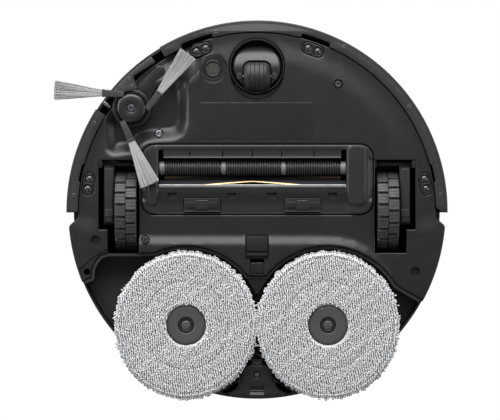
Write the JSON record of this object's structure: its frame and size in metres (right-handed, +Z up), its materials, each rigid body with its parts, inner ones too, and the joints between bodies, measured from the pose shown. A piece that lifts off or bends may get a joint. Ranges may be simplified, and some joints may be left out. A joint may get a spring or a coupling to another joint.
{
  "type": "robot vacuum",
  "caption": "Round robot vacuum with sprung wheels, a caster, twin rollers, a swing-out side brush and two lifting mop pads.",
  "frame": {"origin": "centre of the object's bounding box at the height of the floor it stands on", "axes": "+Z up, the front of the robot towards -Y, the side brush on the -X side"},
  "size_m": [0.3608, 0.3484, 0.104],
  "materials": {
    "chassis_plastic": "fine spark texture, charcoal black",
    "deck_plastic": "satin black upper housing",
    "bumper_plastic": "satin black bumper",
    "cover_plastic": "semi-gloss black cover",
    "guard_plastic": "satin black, smoother than the base",
    "window_plastic": "dark infrared window",
    "sensor_mesh": "fine dark mesh in a moulded ring",
    "label_film": "blank satin film",
    "tyre_rubber": "matt black tread rubber",
    "wheel_plastic": "black wheel hub",
    "roller_rubber": "black soft roller rubber",
    "pin_steel": "bright turned steel",
    "bristle": "pale grey nylon bristles",
    "mop_cloth": "pale grey looped microfibre",
    "mop_plate_plastic": "dark grey satin",
    "bin_plastic": "smoked dust bin",
    "cell_wrap": "blue-grey battery wrap",
    "board": "green circuit board",
    "moulded_grey": "grey moulded plastic",
    "fan_plastic": "black fan scroll",
    "tank_plastic": "smoked water tank"
  },
  "bodies": {
    "chassis": {"base_plate": "chassis_plastic", "mop_bay_frame": "chassis_plastic", "top_deck": "deck_plastic", "battery_pack": "cell_wrap", "main_board": "board", "fan_housing": "fan_plastic", "water_tank": "tank_plastic", "water_pump": "moulded_grey", "side_brush_motor": "pin_steel", "brush_motor": "pin_steel", "brush_housing": "chassis_plastic", "caster_socket": "chassis_plastic", "rating_label": "label_film", "cliff_sensor_front_left": "window_plastic", "cliff_sensor_front_right": "window_plastic", "cliff_sensor_side_left": "window_plastic", "cliff_sensor_side_right": "window_plastic", "carpet_sensor": "sensor_mesh", "hinge_pin_left": "pin_steel", "hinge_pin_right": "pin_steel", "lidar_base": "deck_plastic", "lidar_cap": "deck_plastic"},
    "fan": {"fan_impeller": "moulded_grey"},
    "bumper": {"bumper": "bumper_plastic", "sensor_window": "window_plastic"},
    "top_cover": {"top_cover": "cover_plastic"},
    "dust_bin": {"dust_bin": "bin_plastic", "bin_lid": "bin_plastic"},
    "lidar_head": {"lidar_head": "window_plastic"},
    "power_button": {"power_button": "moulded_grey"},
    "home_button": {"home_button": "moulded_grey"},
    "service_latch": {"service_latch": "guard_plastic"},
    "wheel_arm_left": {"wheel_arm_left": "chassis_plastic"},
    "drive_wheel_left": {"drive_wheel_left": "wheel_plastic", "drive_tyre_left": "tyre_rubber"},
    "wheel_arm_right": {"wheel_arm_right": "chassis_plastic"},
    "drive_wheel_right": {"drive_wheel_right": "wheel_plastic", "drive_tyre_right": "tyre_rubber"},
    "caster_fork": {"caster_yoke": "guard_plastic", "caster_axle": "pin_steel"},
    "caster_wheel": {"caster_wheel": "tyre_rubber"},
    "brush_guard": {"brush_guard": "guard_plastic"},
    "guard_latch_left": {"guard_latch_left": "guard_plastic"},
    "guard_latch_right": {"guard_latch_right": "guard_plastic"},
    "comb_roller": {"comb_roller": "roller_rubber"},
    "rubber_roller": {"rubber_roller": "roller_rubber"},
    "side_brush_arm": {"side_brush_arm": "chassis_plastic"},
    "side_brush": {"side_brush_hub": "guard_plastic", "side_brush_screw": "pin_steel", "bristle_tuft_1": "bristle", "bristle_tuft_2": "bristle", "bristle_tuft_3": "bristle"},
    "mop_arm": {"mop_arm": "chassis_plastic"},
    "mop_lift_left": {"mop_motor_left": "pin_steel"},
    "mop_left": {"mop_plate_left": "mop_plate_plastic", "mop_pad_left": "mop_cloth"},
    "mop_lift_right": {"mop_motor_right": "pin_steel"},
    "mop_right": {"mop_plate_right": "mop_plate_plastic", "mop_pad_right": "mop_cloth"}
  },
  "joints": [
    {"name": "bumper_press", "type": "slide", "parent": "chassis", "child": "bumper", "axis": [0, 1, 0], "range_m": [0, 0.004], "stiffness_N_per_m": 250, "springref_m": -0.002},
    {"name": "suspension_left", "type": "hinge", "parent": "chassis", "child": "wheel_arm_left", "pos_m": [-0.11498, -0.0428, 0.024], "axis": [-1, 0, 0], "range_deg": [0, 20], "stiffness_Nm_per_rad": 0.22, "springref_deg": 54.43},
    {"name": "wheel_spin_left", "type": "hinge", "parent": "wheel_arm_left", "child": "drive_wheel_left", "pos_m": [-0.11498, 0.0008, 0.0367], "axis": [1, 0, 0], "continuous": true},
    {"name": "suspension_right", "type": "hinge", "parent": "chassis", "child": "wheel_arm_right", "pos_m": [0.12572, -0.0428, 0.024], "axis": [-1, 0, 0], "range_deg": [0, 20], "stiffness_Nm_per_rad": 0.22, "springref_deg": 54.43},
    {"name": "wheel_spin_right", "type": "hinge", "parent": "wheel_arm_right", "child": "drive_wheel_right", "pos_m": [0.12572, 0.0008, 0.0367], "axis": [1, 0, 0], "continuous": true},
    {"name": "caster_swivel", "type": "hinge", "parent": "chassis", "child": "caster_fork", "pos_m": [0.00537, -0.1322, 0.02], "axis": [0, 0, 1], "continuous": true},
    {"name": "caster_roll", "type": "hinge", "parent": "caster_fork", "child": "caster_wheel", "pos_m": [0.00537, -0.1226, 0.0135], "axis": [1, 0, 0], "continuous": true},
    {"name": "guard_open", "type": "hinge", "parent": "chassis", "child": "brush_guard", "pos_m": [0.00537, -0.0602, 0.011], "axis": [-1, 0, 0], "range_deg": [0, 25], "deforming": ["bristle_tuft_1", "bristle_tuft_2", "bristle_tuft_3"]},
    {"name": "guard_latch_press_left", "type": "slide", "parent": "brush_guard", "child": "guard_latch_left", "axis": [0, -1, 0], "range_m": [0, 0.002], "stiffness_N_per_m": 300, "springref_m": -0.001},
    {"name": "guard_latch_press_right", "type": "slide", "parent": "brush_guard", "child": "guard_latch_right", "axis": [0, -1, 0], "range_m": [0, 0.002], "stiffness_N_per_m": 300, "springref_m": -0.001},
    {"name": "rubber_roller_spin", "type": "hinge", "parent": "chassis", "child": "rubber_roller", "pos_m": [0.00537, -0.0197, 0.0225], "axis": [1, 0, 0], "continuous": true},
    {"name": "comb_roller_spin", "type": "hinge", "parent": "chassis", "child": "comb_roller", "pos_m": [0.00537, -0.0386, 0.0169], "axis": [1, 0, 0], "continuous": true},
    {"name": "side_arm_swing", "type": "hinge", "parent": "chassis", "child": "side_brush_arm", "pos_m": [-0.08463, -0.1277, 0.017], "axis": [0, 0, 1], "range_deg": [0, 35]},
    {"name": "side_brush_spin", "type": "hinge", "parent": "side_brush_arm", "child": "side_brush", "pos_m": [-0.10973, -0.0932, 0.008], "axis": [0, 0, 1], "continuous": true},
    {"name": "mop_arm_swing", "type": "hinge", "parent": "chassis", "child": "mop_arm", "pos_m": [-0.08329, 0.0556, 0.028], "axis": [0, 0, 1], "range_deg": [0, 32]},
    {"name": "mop_lift_right", "type": "slide", "parent": "chassis", "child": "mop_lift_right", "axis": [0, 0, 1], "range_m": [0, 0.0105]},
    {"name": "mop_lift_left", "type": "slide", "parent": "mop_arm", "child": "mop_lift_left", "axis": [0, 0, 1], "range_m": [0, 0.0105]},
    {"name": "mop_spin_right", "type": "hinge", "parent": "mop_lift_right", "child": "mop_right", "pos_m": [0.07027, 0.1052, 0.01], "axis": [0, 0, 1], "continuous": true},
    {"name": "mop_spin_left", "type": "hinge", "parent": "mop_lift_left", "child": "mop_left", "pos_m": [-0.05953, 0.1052, 0.01], "axis": [0, 0, 1], "continuous": true},
    {"name": "cover_lift", "type": "slide", "parent": "chassis", "child": "top_cover", "axis": [0, 0, 1], "range_m": [0, 0.08]},
    {"name": "bin_lift", "type": "slide", "parent": "chassis", "child": "dust_bin", "axis": [0, 0, 1], "range_m": [0, 0.04]},
    {"name": "lidar_spin", "type": "hinge", "parent": "chassis", "child": "lidar_head", "pos_m": [0.00537, 0.0458, 0.092], "axis": [0, 0, 1], "continuous": true},
    {"name": "fan_spin", "type": "hinge", "parent": "chassis", "child": "fan", "pos_m": [0.10337, -0.0872, 0.035], "axis": [0, 0, 1], "continuous": true},
    {"name": "power_button_press", "type": "slide", "parent": "chassis", "child": "power_button", "axis": [0, 0, -1], "range_m": [0, 0.0008], "stiffness_N_per_m": 300, "springref_m": -0.0004},
    {"name": "home_button_press", "type": "slide", "parent": "chassis", "child": "home_button", "axis": [0, 0, -1], "range_m": [0, 0.0008], "stiffness_N_per_m": 300, "springref_m": -0.0004},
    {"name": "service_latch_slide", "type": "slide", "parent": "chassis", "child": "service_latch", "axis": [0, -1, 0], "range_m": [0, 0.003]}
  ],
  "couplings": [
    {"joint": "comb_roller_spin", "follows": "rubber_roller_spin", "ratio": -1},
    {"joint": "mop_lift_left", "follows": "mop_lift_right", "ratio": 1},
    {"joint": "mop_spin_left", "follows": "mop_spin_right", "ratio": -1},
    {"joint": "bin_lift", "follows": "cover_lift", "ratio": 0.5}
  ]
}
